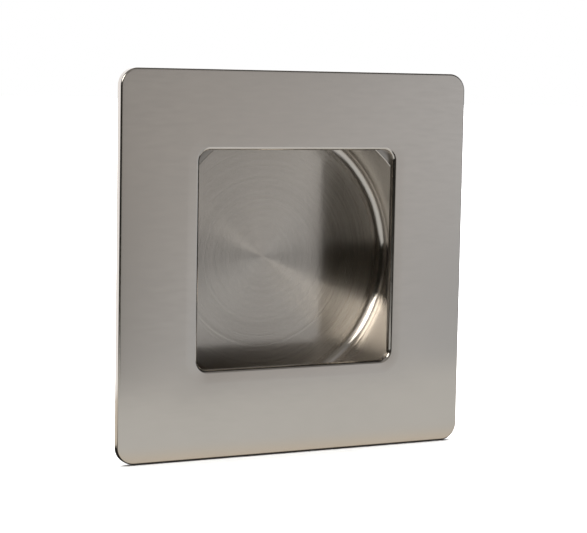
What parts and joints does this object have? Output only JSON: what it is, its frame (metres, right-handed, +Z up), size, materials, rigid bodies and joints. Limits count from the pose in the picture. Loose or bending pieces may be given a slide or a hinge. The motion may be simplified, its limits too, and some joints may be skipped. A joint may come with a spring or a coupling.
{
  "type": "square flush finger pull",
  "caption": "Square flush finger pull: a thin face plate with a square window over a round turned cup, glued into a bored door.",
  "frame": {"origin": "where the axis of the cup meets the back of the face plate, the plane that lies on the door", "axes": "+Z up, -Y towards the user, +Y along the cup's axis into the door, +X to the user's right"},
  "size_m": [0.07, 0.016, 0.07],
  "materials": {
    "plate_metal": "fine satin polish, warm nickel tone",
    "cup_metal": "turned, with fine rings on the floor and a polished wall, warm nickel tone"
  },
  "bodies": {
    "root": {"face_plate": "plate_metal", "cup": "cup_metal"}
  },
  "joints": []
}
